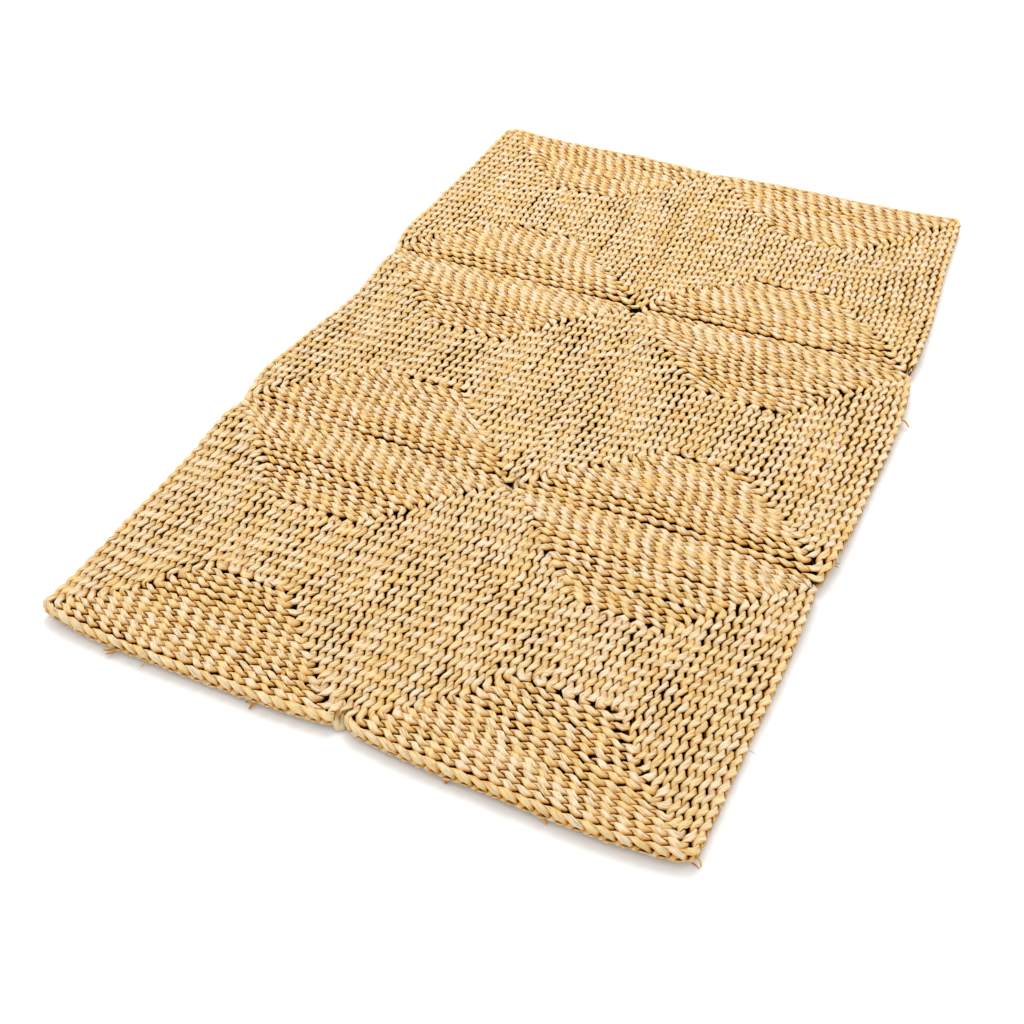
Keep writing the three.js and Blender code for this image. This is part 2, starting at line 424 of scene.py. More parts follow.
def spreadFromSeams(column, row, x, y):
    # opens the rows beside the cross seams
    spread = seamSpread
    shift = spread["columnShift"] * column + spread["rowShift"] * row
    amount = spread["amount"] + spread["swing"] * np.sin(x / spread["longWave"] + shift)
    amount = amount + spread["swing"] * np.sin(x / spread["shortWave"] + row)
    half = rug["panelLength"] / 2
    reach = spread["even"][-1]
    moved = y.copy()
    for hasSeam, toward in ((row > 0, 1), (row < rug["rows"] - 1, -1)):
        if hasSeam:
            distance = half + toward * y
            real = np.interp(distance, spread["even"], spread["real"])
            moved += toward * (real - distance) * amount * (distance < reach)
    return moved


def nestedPhase(x, y, seed):
    # the plait's phase along the route, set row by row so that the stitches of neighbours nest;
    # what doesn't fit is taken up around the corners
    draw = np.random.default_rng(seed + 5)
    start = draw.uniform(0, nesting["startRange"], 2)
    step = tracing["step"]
    even = 2 * math.pi * step * np.arange(len(x)) / plait["cycle"]
    alongX = np.abs(np.gradient(x)) > tracing["straight"] * step
    alongY = np.abs(np.gradient(y)) > tracing["straight"] * step
    kind = np.where(alongX, 1, np.where(alongY, 2, 0))
    edges = np.flatnonzero(np.diff(kind)) + 1
    knots = []
    slips = []
    slip = 0.0
    for low, high in zip(np.concatenate(([0], edges)), np.concatenate((edges, [len(x)]))):
        length = (high - low) * step
        if kind[low] == 0 or length < nesting["shortest"]:
            continue
        middle = (low + high) // 2
        if kind[low] == 1:
            position = x[middle] - start[0] - nesting["crosswise"] * y[middle]
            position += draw.uniform(-1, 1) * nesting["crosswiseSlip"]
            forward = np.sign(x[high - 1] - x[low])
        else:
            position = y[middle] - start[1] - nesting["lengthwise"] * x[middle]
            position += draw.uniform(-1, 1) * nesting["lengthwiseSlip"]
            forward = np.sign(y[high - 1] - y[low])
        stitch = 2 * math.pi / plait["strands"]
        wanted = forward * 2 * math.pi * position / plait["cycle"] + math.pi / 2
        wanted += stitch * round((even[middle] + slip - wanted) / stitch)
        slip = wanted - even[middle]
        margin = int(min(nesting["cornerReach"], length * nesting["cornerShare"]) / step)
        knots += [low + margin, high - 1 - margin]
        slips += [slip, slip]
    return even + np.interp(np.arange(len(x)), knots, slips)


def evenedOut(values, count):
    return np.convolve(values, np.ones(count) / count, "same")


def plaitCourse(column, row):
    # centre line of one panel's plait with its directions, its phase and where it lies in the rug
    first, perColumn, perRow = tracing["seeds"]
    seed = first + perColumn * column + perRow * row
    draw = np.random.default_rng(seed)
    flips = windings[column, row]
    route = windingRoute(seed, flips)
    x = route[:, 0] * (-1 if flips["flipX"] else 1)
    y = route[:, 1] * (-1 if flips["flipY"] else 1)
    insetX = rug["panelWidth"] / 2 - np.abs(x)
    insetY = rug["panelLength"] / 2 - np.abs(y)
    phase = nestedPhase(x, y, seed)
    push = sharedWander(x, y, seed + 3)
    y = spreadFromSeams(column, row, x, y)
    x = x + push[:, 0]
    y = y + push[:, 1]
    place = realPlace(column, row, x, y) + shiftToFrame
    tangent = np.gradient(place, axis=0)
    tangent /= np.linalg.norm(tangent, axis=1)[:, None]
    left = np.stack((-tangent[:, 1], tangent[:, 0]), 1)
    heading = np.unwrap(np.arctan2(tangent[:, 1], tangent[:, 0]))
    bend = evenedOut(np.abs(np.gradient(heading)) / tracing["step"], tracing["blur"])
    count = len(place)

    def own(wave):
        return wander(draw, tracing["step"] * count, wave)[:count]

    sideways = sum(own(wave) * share for wave, share in uneven["sidewaysWaves"])
    place = place + left * (uneven["sideways"] * sideways)[:, None]
    steps = np.linalg.norm(np.diff(place, axis=0), axis=1)
    distance = np.concatenate(([0], np.cumsum(steps)))
    stitchSlip = uneven["stitch"] * own(uneven["stitchWave"])
    phase = phase + 2 * math.pi * stitchSlip / plait["cycle"]
    lift = uneven["lift"] * own(uneven["liftWave"])
    height = underside(column, row, x, y) + rug["thickness"] / 2 + lift
    inset = np.minimum(insetX, insetY)
    facing = facingFreeEdge(column, row, x, y, left, insetX, insetY)
    lean = np.radians(uneven["lean"]) * own(uneven["leanWave"])
    edgeLean = np.exp(-(inset - rug["pitch"] / 2) / uneven["edgeLeanReach"]) * facing
    lean -= np.radians(uneven["edgeLean"]) * evenedOut(edgeLean, tracing["leanBlur"])
    return {
        "distance": distance,
        "phase": phase,
        "place": np.column_stack((place, height)),
        "left": left,
        "lean": lean,
        "free": np.where(inset < rug["pitch"], facing, 0.0),
        "crosswise": evenedOut(tangent[:, 0] ** 2, tracing["blur"]),
        "corner": np.clip(bend / tracing["fullCorner"], 0, 1),
        "seed": seed,
    }


def facingFreeEdge(column, row, x, y, left, insetX, insetY):
    # +1 or -1 where a row's left or right face looks to a free edge of the rug, else 0
    outX = np.where(insetX <= insetY, np.sign(x), 0)
    outY = np.where(insetX > insetY, np.sign(y), 0)
    lastColumn = rug["columns"] - 1
    lastRow = rug["rows"] - 1
    openX = ((outX < 0) & (column == 0)) | ((outX > 0) & (column == lastColumn))
    openY = ((outY < 0) & (row == 0)) | ((outY > 0) & (row == lastRow))
    facing = np.sign(left[:, 0] * outX + left[:, 1] * outY)
    return np.where(openX | openY, facing, 0.0)


def strandTurns(course, strand):
    # phases of one bundle at which its rings stand, and how far along the plait those rings are
    offset = 2 * math.pi * strand / plait["strands"]
    steps = np.radians(np.array(plait["steps"], float))
    start = course["phase"][0] + offset
    finish = course["phase"][-1] + offset
    cycles = np.arange(math.floor(start / (2 * math.pi)) - 1, math.ceil(finish / (2 * math.pi)) + 1)
    turns = (2 * math.pi * cycles[:, None] + math.pi / 2 + steps[None, :]).ravel()
    clear = tracing["endClearance"]
    turns = turns[(turns > start + clear) & (turns < finish - clear)]
    turns = np.concatenate(([start], turns, [finish]))
    return turns, np.interp(turns - offset, course["phase"], course["distance"])


def blend(first, second, share):
    return first + (second - first) * share


def strandMesh(course, strand):
    # one bundle swept along the whole course: rings of points, their faces and their surface values
    draw = np.random.default_rng(course["seed"] * 10 + strand)
    turns, distance = strandTurns(course, strand)
    total = course["distance"][-1]

    def follow(values):
        return np.interp(distance, course["distance"], values)

    def own(wave, amount):
        values = wander(draw, total, wave, 1.0)
        return amount * np.interp(distance, np.arange(len(values)), values)

    # directions of the row
    middle = np.column_stack([follow(course["place"][:, axis]) for axis in range(3)])
    flatLeft = np.column_stack([follow(course["left"][:, axis]) for axis in range(2)])
    flatLeft = np.column_stack((flatLeft, distance * 0))
    flatLeft /= np.linalg.norm(flatLeft, axis=1)[:, None]
    forward = np.column_stack((flatLeft[:, 1], -flatLeft[:, 0], distance * 0))
    lean = follow(course["lean"])[:, None]
    upright = np.array((0, 0, 1.0))
    up = upright * np.cos(lean) + flatLeft * np.sin(lean)
    side = flatLeft * np.cos(lean) - upright * np.sin(lean)

    # path of the bundle: up and over the row's edges, and from face to face
    sine = np.sin(turns)
    cosine = np.cos(turns)
    free = follow(course["free"])
    edge = np.abs(free)
    corner = follow(course["corner"])
    crosswise = follow(course["crosswise"])
    fuller = 1 + plait["cornerFullness"] * corner
    swing = blend(plait["swing"], plait["edgeSwing"], edge) + own(uneven["swingWave"], uneven["swing"])
    weave = blend(plait["weave"], plait["crosswiseWeave"], crosswise)
    weave = blend(weave, plait["edgeWeave"], edge)
    weave = weave * fuller * (1 + own(uneven["weaveWave"], uneven["weave"]))
    flat = blend(plait["flat"], plait["crosswiseFlat"], crosswise)
    flat = blend(flat, plait["flatAtEdge"], edge)
    height = np.tanh(flat * sine) / np.tanh(flat)
    sideways = weave * np.sin(2 * turns)
    centre = middle + up * (swing * height)[:, None] + side * sideways[:, None]
    climb = flat * cosine / np.cosh(flat * sine) ** 2 / np.tanh(flat)
    drift = 2 * np.cos(2 * turns)
    path = (
        forward * plait["cycle"] / (2 * math.pi)
        + up * (plait["swing"] * climb)[:, None]
        + side * (weave * drift)[:, None]
    )
    path /= np.linalg.norm(path, axis=1)[:, None]
    outer = side * (plait["turn"] * cosine * np.abs(cosine))[:, None] + up
    outer -= path * (outer * path).sum(1)[:, None]
    outer /= np.linalg.norm(outer, axis=1)[:, None]
    across = np.cross(path, outer)

    # section of the bundle, flatter on the faces and fuller below and at corners
    onFace = cosine ** 2
    turnWidth = blend(plait["turnHalfWidth"], plait["crosswiseHalfWidth"], crosswise)
    faceWidth = blend(plait["faceHalfWidth"], plait["edgeHalfWidth"], edge)
    below = smoothStep(-sine, *plait["lowerReach"]) * (1 - edge)
    below = below * (plait["lowerFullness"] + plait["lowerCornerFullness"] * corner)
    width = blend(turnWidth, faceWidth, onFace) * fuller * (1 + below)
    depth = blend(plait["turnHalfDepth"], plait["faceHalfDepth"], onFace)
    taper = smoothStep(total - distance, -plait["endPast"], plait["endTaper"])
    width = width * (1 + own(uneven["sectionWave"], uneven["section"])) * taper
    depth = depth * (1 + own(uneven["sectionWave"], uneven["sectionDepth"])) * taper
    section = np.array(plait["section"])
    angles = np.arctan2(section[:, 1], section[:, 0])
    crease = own(uneven["creaseWave"], uneven["crease"])[:, None]
    ripple = 1
    for folds, size, speed in uneven["ripples"]:
        ripple = ripple + size * np.cos(folds * angles[None, :] + speed * crease)
    acrossSize = width[:, None] * section[:, 0] * ripple
    outerSize = depth[:, None] * section[:, 1] * ripple
    points = (
        centre[:, None, :]
        + across[:, None, :] * acrossSize[:, :, None]
        + outer[:, None, :] * outerSize[:, :, None]
    )
    points[:, :, 2] = np.maximum(points[:, :, 2], 0.0)

    rings = len(turns)
    sides = len(section)
    ring = np.arange(rings - 1)[:, None] * sides
    first = np.arange(sides)[None, :]
    second = (first + 1) % sides
    faces = np.stack((ring + first, ring + second, ring + sides + second, ring + sides + first), 2)

    # surface values: tone of the husk, painted shade that darkens a point the deeper it lies inside the
    # rug, and where it is on the bundle
    stitch = np.floor(turns / (2 * math.pi) + 0.25).astype(int)
    stitch -= stitch.min()
    perHusk = plait["stitchesPerHusk"]
    stitchTone = draw.uniform(0, 1, stitch.max() + 1)
    huskTone = np.repeat(draw.uniform(0, 1, stitch.max() // perHusk + 2), perHusk)
    tone = plait["tones"][0] * stitchTone[stitch] + plait["tones"][1] * huskTone[stitch]
    fromMiddle = points - middle[:, None, :]
    rise = (fromMiddle * up[:, None, :]).sum(2)
    out = (fromMiddle * side[:, None, :]).sum(2)
    # painted shade: darker deeper inside the rug, except out on a free face in full light, and more in
    # the gaps of crosswise rows
    inside = np.clip(1 - np.abs(rise) / (rug["thickness"] / 2), 0, 1)
    inLight = smoothStep(out * free[:, None], *plait["inLight"])
    shade = 1 + plait["crosswiseShade"] * crosswise * (1 - edge)
    paintedShade = inside * (1 - inLight) * shade[:, None]
    strandLength = np.concatenate(([0], np.cumsum(np.linalg.norm(np.diff(centre, axis=0), axis=1))))
    grain = np.empty((rings, sides, 3))
    grain[:, :, 0] = np.cos(angles)[None, :]
    grain[:, :, 1] = np.sin(angles)[None, :]
    grain[:, :, 2] = (strandLength / tracing["grainUnit"] + tracing["grainGap"] * strand)[:, None]
    return {
        "points": points.reshape(-1, 3),
        "faces": faces.reshape(-1, 4),
        "ends": (np.arange(sides)[::-1], (rings - 1) * sides + np.arange(sides)),
        "tone": np.repeat(tone, sides),
        "paintedShade": paintedShade.ravel(),
        "grain": grain.reshape(-1, 3),
    }


# Surface values that the husk's material reads: name, kind, field
attributeKinds = (
    ("tone", "FLOAT", "value"),
    ("paintedShade", "FLOAT", "value"),
    ("grain", "FLOAT_VECTOR", "vector"),
)


def addSurfaceValues(mesh, values):
    for key, kind, field in attributeKinds:
        attribute = mesh.attributes.new(key, kind, "POINT")
        attribute.data.foreach_set(field, values[key].astype(np.float32).ravel())


def joinStrands(name, strands):
    # one mesh from the three bundles
    quads = []
    caps = []
    start = 0
    for strand in strands:
        quads.append(strand["faces"] + start)
        caps += [end + start for end in strand["ends"]]
        start += len(strand["points"])
    points = np.concatenate([strand["points"] for strand in strands]) * mm
    quads = np.concatenate(quads)
    loops = np.concatenate([quads.ravel()] + caps).astype(np.int32)
    sizes = np.concatenate((np.full(len(quads), 4), [len(cap) for cap in caps]))
    starts = np.concatenate(([0], np.cumsum(sizes)[:-1])).astype(np.int32)
    mesh = bpy.data.meshes.new(name)
    mesh.vertices.add(len(points))
    mesh.vertices.foreach_set("co", points.astype(np.float32).ravel())
    mesh.loops.add(len(loops))
    mesh.loops.foreach_set("vertex_index", loops)
    mesh.polygons.add(len(sizes))
    mesh.polygons.foreach_set("loop_start", starts)
    mesh.polygons.foreach_set("use_smooth", np.ones(len(sizes), bool))
    values = {key: np.concatenate([strand[key] for strand in strands]) for key, *_ in attributeKinds}
    addSurfaceValues(mesh, values)
    mesh.update(calc_edges=True)
    ends = np.empty(2 * len(mesh.edges), np.int32)
    mesh.edges.foreach_get("vertices", ends)
    corner = ends.reshape(-1, 2) % len(plait["section"])
    sharp = (corner[:, 0] == corner[:, 1]) & np.isin(corner[:, 0], plait["sharp"])
    mesh.attributes.new("sharp_edge", "BOOLEAN", "EDGE").data.foreach_set("value", sharp)
    mesh.validate()
    return mesh


# Colours of dried husk, as seen on a screen: three tones of husk, a stain and a streak, then the
# colours of painted shade at bundle sides, creases and gaps
huskColours = {
    "cream": (230, 214, 182),
    "straw": (229, 207, 158),
    "golden": (226, 196, 136),
    "stain": (216, 179, 102),
    # golden colour of painted shade, on bundle sides and in shallow gaps
    "edge": (220, 157, 54),
    "streak": (200, 140, 66),
    # painted shade in a husk's folds
    "crease": (176, 104, 28),
    "shadeBrown": (144, 63, 2),
    "shadeBlack": (10, 2, 0),
}


def screenColour(colour):
    values = [channel / 255 for channel in colour]
    linear = [v / 12.92 if v <= 0.04045 else ((v + 0.055) / 1.055) ** 2.4 for v in values]
    return (*linear, 1.0)


def addNode(tree, kind, place, **inputs):
    node = tree.nodes.new(kind)
    node.location = place
    for key, value in inputs.items():
        node.inputs[key.replace("_", " ")].default_value = value
    return node


def addRange(tree, source, place, fromMin, fromMax, toMin, toMax):
    node = addNode(tree, "ShaderNodeMapRange", place)
    node.interpolation_type = "SMOOTHSTEP"
    names = ("From Min", "From Max", "To Min", "To Max")
    for name, value in zip(names, (fromMin, fromMax, toMin, toMax)):
        node.inputs[name].default_value = value
    tree.links.new(source, node.inputs["Value"])
    return node.outputs["Result"]


def addRamp(tree, source, place, stops):
    node = addNode(tree, "ShaderNodeValToRGB", place)
    elements = node.color_ramp.elements
    for element, (position, colour) in zip(elements, (stops[0], stops[-1])):
        element.position = position
        element.color = screenColour(colour)
    for position, colour in stops[1:-1]:
        elements.new(position).color = screenColour(colour)
    tree.links.new(source, node.inputs["Fac"])
    return node.outputs["Color"]


def addMath(tree, operation, source, place, value=0.5):
    node = addNode(tree, "ShaderNodeMath", place)
    node.operation = operation
    node.inputs[1].default_value = value
    tree.links.new(source, node.inputs[0])
    return node.outputs["Value"]


def addTint(tree, below, source, name, place):
    # lays a colour over what is below, more and more as the source rises through the tint's range
    colour, start, finish, strength = huskTints[name]
    node = tree.nodes.new("ShaderNodeMix")
    node.data_type = "RGBA"
    node.location = place
    node.inputs["B"].default_value = screenColour(huskColours[colour])
    amount = addRange(tree, source, (place[0] - 200, place[1] - 300), start, finish, 0.0, strength)
    tree.links.new(amount, node.inputs["Factor"])
    tree.links.new(below, node.inputs["A"])
    return node.outputs["Result"]


def addBump(tree, source, below, strength, distance, place):
    node = addNode(tree, "ShaderNodeBump", place, Strength=strength, Distance=distance)
    tree.links.new(source, node.inputs["Height"])
    if below:
        tree.links.new(below.outputs["Normal"], node.inputs["Normal"])
    return node


def addStreaks(tree, grain, place, across, along, scale, detail):
    # noise drawn out along the bundle
    mapping = addNode(tree, "ShaderNodeMapping", place, Scale=(across, across, along))
    tree.links.new(grain, mapping.inputs["Vector"])
    noise = addNode(tree, "ShaderNodeTexNoise", (place[0] + 200, place[1]), Scale=scale, Detail=detail)
    tree.links.new(mapping.outputs["Vector"], noise.inputs["Vector"])
    return noise.outputs["Fac"]


def readAttribute(tree, name, place):
    node = addNode(tree, "ShaderNodeAttribute", place)
    node.attribute_name = name
    return node


# Each tint's colour, where it sets in and is full in the values of its source, and its strength
huskTints = {
    "stained": ("stain", 0.52, 0.78, 0.7),      # over the folds' noise
    "streaked": ("streak", 0.52, 0.78, 0.55),   # over the veins' noise
    # painted shade on the bundle's side edges
    "sides": ("edge", 0.75, 1.0, 0.85),         # over the share of the bundle's half width
    # these three paint shade by how deep a point lies in the rug: golden, then brown, then near black
    "shadedGolden": ("edge", 0.05, 0.38, 0.95),       # over the burial, here and below
    "shadedBrown": ("shadeBrown", 0.34, 0.56, 0.95),
    "shadedBlack": ("shadeBlack", 0.46, 0.7, 1.0),
}

# Noise along the husks: scale across and along, scale of both, detail
huskStreaks = {
    "veins": (9.0, 0.8, 1.5, 5.0),
    "folds": (1.5, 0.45, 1.2, 2.0),
    "creases": (2.2, 0.35, 1.0, 1.0),
}

# How rough the husk is, and its creases and bumps
huskSurface = {
    "specular": 0.12,
    "roughness": (0.3, 0.7, 0.4, 0.65),     # range of the folds' noise, then of the roughness
    "creaseHalfWidth": 0.03,                # in values of the creases' noise
    "creaseShadeStrength": 0.6,
    "creaseBump": (0.5, 0.0008),            # strength, and height in metres
    "veinBump": (0.5, 0.0004),
    "foldBump": (0.55, 0.0016),
}


def huskMaterial():
    colours = huskColours
    surface = huskSurface
    material = bpy.data.materials.new("corn_husk")
    material.use_nodes = True
    tree = material.node_tree
    tree.nodes.clear()
    link = tree.links.new
    output = addNode(tree, "ShaderNodeOutputMaterial", (1100, 0))
    shader = addNode(tree, "ShaderNodeBsdfPrincipled", (800, 0))
    shader.inputs["Specular IOR Level"].default_value = surface["specular"]
    link(shader.outputs["BSDF"], output.inputs["Surface"])

    tone = readAttribute(tree, "tone", (-1500, 400)).outputs["Fac"]
    # painted shade, from how deep each point lies in the rug
    paintedShade = readAttribute(tree, "paintedShade", (-1500, -700)).outputs["Fac"]
    grain = readAttribute(tree, "grain", (-1500, 0)).outputs["Vector"]
    veins = addStreaks(tree, grain, (-1200, 100), *huskStreaks["veins"])
    folds = addStreaks(tree, grain, (-1200, -150), *huskStreaks["folds"])
    creases = addStreaks(tree, grain, (-1200, -400), *huskStreaks["creases"])

    # tone of each husk, from pale to golden, with stains and streaks
    tones = ((0.0, "cream"), (0.3, "cream"), (0.6, "straw"), (1.0, "golden"))
    base = addRamp(tree, tone, (-900, 400), [(at, colours[name]) for at, name in tones])
    stained = addTint(tree, base, folds, "stained", (-550, 350))
    streaked = addTint(tree, stained, veins, "streaked", (-350, 350))

    # a crease is a thin line where the husk is folded on itself, painted darker as shade in the fold
    fromMiddle = addMath(tree, "SUBTRACT", creases, (-950, -400))
    size = addMath(tree, "ABSOLUTE", fromMiddle, (-780, -400))
    line = addRange(tree, size, (-600, -400), 0.0, surface["creaseHalfWidth"], 1.0, 0.0)
    creaseShaded = tree.nodes.new("ShaderNodeMix")
    creaseShaded.data_type = "RGBA"
    creaseShaded.location = (-150, 350)
    creaseShaded.inputs["B"].default_value = screenColour(colours["crease"])
    amount = addMath(tree, "MULTIPLY", line, (-400, -400), surface["creaseShadeStrength"])
    link(amount, creaseShaded.inputs["Factor"])
    link(streaked, creaseShaded.inputs["A"])

    # painted shade: the side edges of a bundle are painted more golden than its crest
    parts = addNode(tree, "ShaderNodeSeparateXYZ", (-950, -600))
    link(grain, parts.inputs["Vector"])
    aside = addMath(tree, "ABSOLUTE", parts.outputs["X"], (-780, -600))
    edged = addTint(tree, creaseShaded.outputs["Result"], aside, "sides", (50, 350))

    # painted shade: where a bundle tucks under the next it is painted golden, then brown, and deeper
    # inside the rug near black
    shadedGolden = addTint(tree, edged, paintedShade, "shadedGolden", (250, 350))
    shadedBrown = addTint(tree, shadedGolden, paintedShade, "shadedBrown", (450, 350))
    shadedBlack = addTint(tree, shadedBrown, paintedShade, "shadedBlack", (620, 350))
    link(shadedBlack, shader.inputs["Base Color"])
    link(addRange(tree, folds, (450, -200), *surface["roughness"]), shader.inputs["Roughness"])

    creaseBump = addBump(tree, line, None, *surface["creaseBump"], (0, -500))
    creaseBump.invert = True
    veinBump = addBump(tree, veins, creaseBump, *surface["veinBump"], (250, -500))
    foldBump = addBump(tree, folds, veinBump, *surface["foldBump"], (500, -500))
    link(foldBump.outputs["Normal"], shader.inputs["Normal"])
    return material


cornHusk = huskMaterial()

for (column, row), node in panelNodes.items():
    course = plaitCourse(column, row)
    strands = [strandMesh(course, strand) for strand in range(plait["strands"])]
    mesh = joinStrands(node.replace("panel", "plait"), strands)
    panel = bpy.data.objects.new(mesh.name, mesh)
    bpy.context.scene.collection.objects.link(panel)
    panel.data.materials.append(cornHusk)
    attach(panel, "root")
    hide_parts(node)
    triangles = sum(len(polygon.vertices) - 2 for polygon in mesh.polygons)
    length = round(course["distance"][-1] / 1000, 2)
    print(panel.name, "wound from", length, "m of plait,", triangles, "triangles")


# Loose husks: ends that stick out of the edges, and husks that lie across a gap between panels
looseHusks = {
    "corners": 8,
    "spacing": 2.5,         # between rings along a husk
    "fewestRings": 4,
    "taper": (0.5, 0.85, 1.0, 1.0, 0.95, 0.8, 0.45),
    "grainGap": 37,         # so that no two husks have the same grain
    # points along the husk; width; depth; tone from pale to golden; shade from 0 to 1, dark
    "pieces": (
        (((-25, -450, 14), (-17, -462, 15.5), (-11.5, -469, 10), (-8, -474, 2)), 17.0, 3.0, 0.55, 0.06),
        (((-7.6, -452, 14), (-6.6, -464.3, 11), (-5.8, -470.1, 5)), 7.0, 2.0, 0.5, 0.1),
        (((-6.2, -132.7, 16), (0.5, -149.1, 15), (4.4, -164.4, 10)), 7.0, 3.4, 0.0, 0.0),
        (((-21, -159, 13), (-7.4, -164.3, 13), (3, -162, 8)), 6.0, 3.4, 0.4, 0.15),
        (((8.7, -139.1, 15), (17.7, -149.6, 14), (26.9, -155.9, 10)), 6.0, 3.0, 0.2, 0.0),
        (((-18, -150, 15), (-14, -153, 16.5), (-7.3, -157.7, 12)), 5.0, 3.0, 0.6, 0.1),
        (((291.4, 204.7, 12), (293.3, 184.0, 13), (294.4, 164.3, 8)), 8.0, 4.0, 0.2, 0.0),
        (((-226, -482, 8), (-233.7, -486.9, 6), (-239.2, -487.3, 5)), 2.6, 1.4, 1.0, 0.42),
        (((-227, -484, 5), (-230.7, -487.1, 5), (-235.5, -489.6, 4)), 2.0, 1.2, 1.0, 0.42),
        (((-194, -477, 8), (-198.4, -485, 4), (-198.7, -487.9, 3)), 2.2, 1.2, 0.7, 0.2),
        (((-84, -476, 8), (-89.5, -482.9, 3), (-89.2, -486.9, 1.5)), 3.4, 2.2, 1.0, 0.44),
        (((-90, -477, 6), (-92.8, -480.4, 5), (-95.2, -483.3, 3)), 2.4, 1.6, 1.0, 0.44),
        (((93.4, -476, 8), (93.7, -482.1, 4), (94.7, -484.3, 1.5)), 4.2, 3.0, 1.0, 0.46),
        (((173, -478, 9), (179.3, -483, 5), (182.7, -484.9, 2)), 4.0, 2.4, 1.0, 0.3),
        (((286, -470, 8), (297.6, -467.5, 9), (301.4, -468.4, 6), (302.6, -470.8, 2)),
         2.4, 0.9, 0.8, 0.25),
        (((288, -470, 6), (298.4, -470.5, 3), (302.0, -471.3, 1)), 1.6, 0.9, 1.0, 0.45),
        (((297, -359, 10), (305.9, -358.4, 8), (309.6, -359.1, 7)), 0.7, 0.5, 0.2, 0.2),
        (((307, 90, 12), (317.5, 94.1, 10), (322.0, 94.9, 7), (325.4, 90.4, 5)), 3.2, 1.1, 1.0, 0.35),
        (((299, -133, 11), (310.2, -129.7, 9), (314.3, -127.9, 9)), 2.0, 1.0, 0.9, 0.38),
        (((301, -131, 9), (307.6, -129.9, 8), (313.5, -129.6, 5)), 1.8, 1.0, 0.9, 0.4),
        (((288, -452, 8), (296.2, -447.6, 8), (299.3, -447.2, 8)), 1.1, 0.7, 0.9, 0.42),
    ),
    # short husk ends that poke out between the rows
    "endCount": 30,         # to a panel
    "endSeed": 77,
    "endPiece": (6.0, 3.0, 2.2, 1.0, 0.3, 99),      # length, width, depth, tone, shade; number
    "endTilt": (5, 35),     # degrees
    "endSink": (2.5, 4),    # below the top of the rug
    "endScale": (0.6, 1.2),
    "endMargin": 12.0,      # from a panel's rim
}


def modelHusk(name, length, width, depth, tone, shade, number):
    # a straight husk along X, extruded ring by ring from a small disc
    rings = max(looseHusks["fewestRings"], int(length / looseHusks["spacing"]) + 1)
    shares = looseHusks["taper"]
    taper = np.interp(np.linspace(0, 1, rings), np.linspace(0, 1, len(shares)), shares)
    bpy.ops.object.select_all(action="DESELECT")
    bpy.ops.mesh.primitive_circle_add(
        vertices=looseHusks["corners"],
        radius=0.5 * mm,
        fill_type="NGON",
        rotation=(0, math.pi / 2, 0),
    )
    bpy.ops.object.transform_apply(location=True, rotation=True, scale=True)
    piece = bpy.context.active_object
    piece.name = name
    bpy.ops.object.mode_set(mode="EDIT")
    bpy.ops.transform.resize(value=(1, width * taper[0], depth * taper[0]))
    step = length / (rings - 1)
    for ring in range(1, rings):
        bpy.ops.mesh.extrude_region_move(TRANSFORM_OT_translate={"value": (step * mm, 0, 0)})
        share = taper[ring] / taper[ring - 1]
        bpy.ops.transform.resize(value=(1, share, share), center_override=(ring * step * mm, 0, 0))
    bpy.ops.mesh.select_all(action="SELECT")
    bpy.ops.mesh.normals_make_consistent(inside=False)
    bpy.ops.mesh.faces_shade_smooth()
    bpy.ops.object.mode_set(mode="OBJECT")
    mesh = piece.data
    points = np.empty(3 * len(mesh.vertices), np.float32)
    mesh.vertices.foreach_get("co", points)
    points = points.reshape(-1, 3) / mm
    along = points[:, 0] / tracing["grainUnit"] + looseHusks["grainGap"] * number
    addSurfaceValues(mesh, {
        "tone": np.full(len(points), tone),
        "paintedShade": np.full(len(points), shade),
        "grain": np.column_stack((points[:, 1] / width * 2, points[:, 2] / depth * 2, along)),
    })
    return piece


def layHusk(number, points, width, depth, tone, shade):
    # the husk is bent along a curve through its points
    route = bpy.data.curves.new(f"husk_route_{number}", "CURVE")
    route.dimensions = "3D"
    route.twist_mode = "Z_UP"
    spline = route.splines.new("NURBS")
    spline.points.add(len(points) - 1)
    for point, place in zip(spline.points, points):
        point.co = (place[0] * mm, place[1] * mm, place[2] * mm, 1)
    spline.order_u = 3
    spline.use_endpoint_u = True
    guide = bpy.data.objects.new(route.name, route)
    bpy.context.scene.collection.objects.link(guide)
    length = spline.calc_length() / mm
    piece = modelHusk(f"husk_{number}", length, width, depth, tone, shade, number)
    rounding = piece.modifiers.new("rounding", "SUBSURF")
    rounding.levels = 1
    rounding.render_levels = 1
    bending = piece.modifiers.new("bending", "CURVE")
    bending.object = guide
    bpy.ops.object.modifier_apply(modifier="rounding")
    bpy.ops.object.modifier_apply(modifier="bending")
    bpy.data.objects.remove(guide)
    return piece


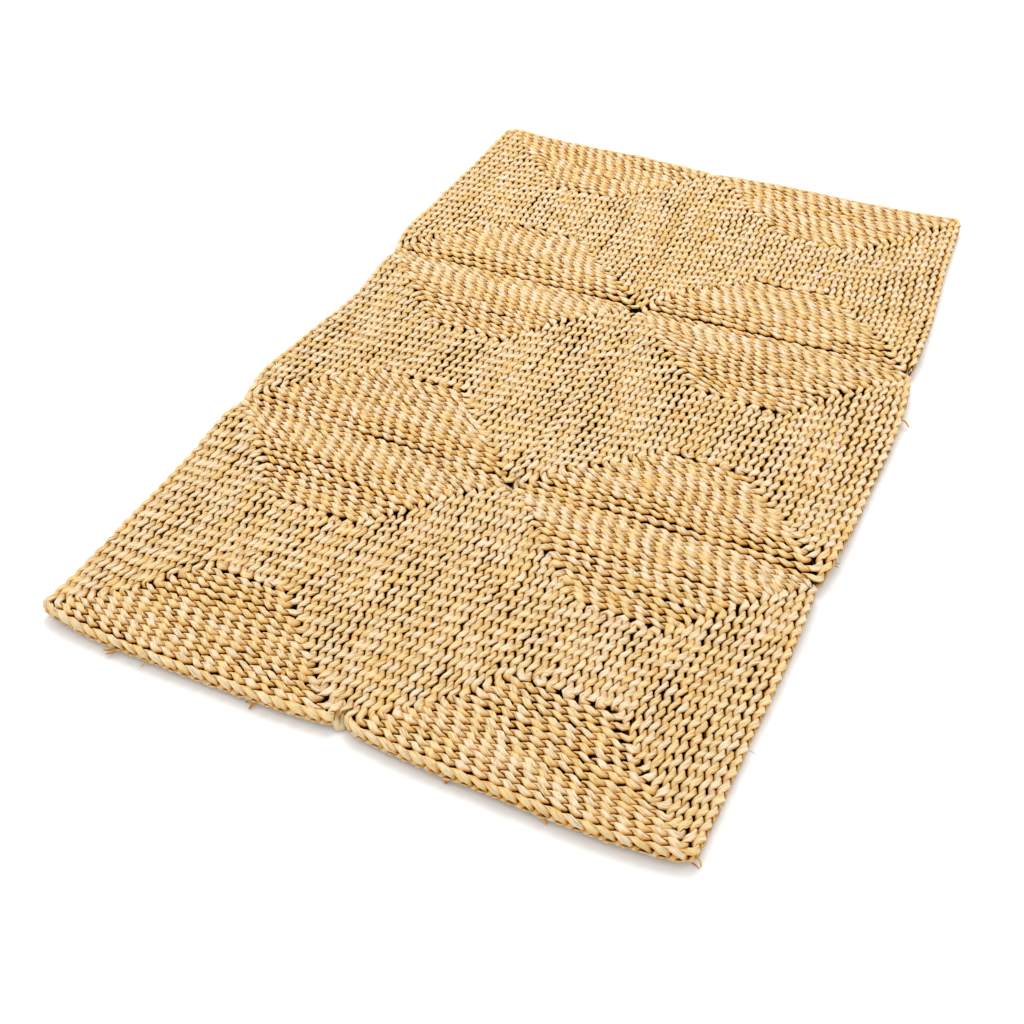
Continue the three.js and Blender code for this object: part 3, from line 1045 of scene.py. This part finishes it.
def scatterEnds():
    # short ends, each a copy of one, poked in between the rows of every panel
    sizes = looseHusks
    draw = np.random.default_rng(sizes["endSeed"])
    first = modelHusk("husk_end", *sizes["endPiece"])
    ends = []
    for column, row in panelNodes:
        for number in range(sizes["endCount"]):
            x = draw.uniform(-1, 1) * (rug["panelWidth"] / 2 - sizes["endMargin"])
            y = draw.uniform(-1, 1) * (rug["panelLength"] / 2 - sizes["endMargin"])
            x = np.array([x])
            y = np.array([y])
            plan = realPlace(column, row, x, y)[0] + shiftToFrame
            top = underside(column, row, x, y)[0] + rug["thickness"]
            height = top - draw.uniform(*sizes["endSink"])
            heading = Matrix.Rotation(draw.uniform(0, 2 * math.pi), 4, "Z")
            tilt = Matrix.Rotation(-math.radians(draw.uniform(*sizes["endTilt"])), 4, "Y")
            size = Matrix.Scale(draw.uniform(*sizes["endScale"]), 4)
            place = Matrix.Translation(Vector((*plan, height)) * mm)
            end = first.copy()
            end.data = first.data.copy()
            end.data.transform(place @ heading @ tilt @ size)
            bpy.context.scene.collection.objects.link(end)
            ends.append(end)
    bpy.data.objects.remove(first)
    return ends


def makeLooseHusks():
    husks = [layHusk(number, *piece) for number, piece in enumerate(looseHusks["pieces"])]
    husks += scatterEnds()
    bpy.ops.object.select_all(action="DESELECT")
    for piece in husks:
        piece.select_set(True)
    bpy.context.view_layer.objects.active = husks[0]
    bpy.ops.object.join()
    loose = bpy.context.active_object
    loose.name = "loose_husks"
    loose.data.materials.clear()
    loose.data.materials.append(cornHusk)
    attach(loose, "root")
    print("loose husks laid:", len(husks))


makeLooseHusks()


# Floor and studio light
studio = {
    "floorHalf": 4000.0,
    "floorColour": (250, 250, 250),
    "floorRoughness": 0.9,
    "sky": 1.06,            # strength of the even light
    "keyPlace": (-300.0, 900.0, 2500.0),
    "keySize": 1500.0,
    "keyPower": 34.0,       # watts
}


def makeStudio():
    bpy.ops.object.select_all(action="DESELECT")
    bpy.ops.mesh.primitive_plane_add(size=2 * studio["floorHalf"] * mm, location=(0, 0, 0))
    floor = bpy.context.active_object
    floor.name = "studio_floor"
    paint = bpy.data.materials.new("floor_white")
    paint.use_nodes = True
    shader = paint.node_tree.nodes["Principled BSDF"]
    shader.inputs["Base Color"].default_value = screenColour(studio["floorColour"])
    shader.inputs["Roughness"].default_value = studio["floorRoughness"]
    floor.data.materials.append(paint)

    world = bpy.data.worlds.new("studio")
    world.use_nodes = True
    sky = world.node_tree.nodes["Background"]
    sky.inputs["Color"].default_value = (1, 1, 1, 1)
    sky.inputs["Strength"].default_value = studio["sky"]
    bpy.context.scene.world = world

    keyData = bpy.data.lights.new("key_light", "AREA")
    keyData.size = studio["keySize"] * mm
    keyData.energy = studio["keyPower"]
    key = bpy.data.objects.new("key_light", keyData)
    place = Vector(studio["keyPlace"]) * mm
    key.location = place
    key.rotation_euler = (-place).to_track_quat("-Z", "Y").to_euler()
    bpy.context.scene.collection.objects.link(key)
    bpy.context.scene.view_settings.view_transform = "Standard"


makeStudio()
print("studio set")
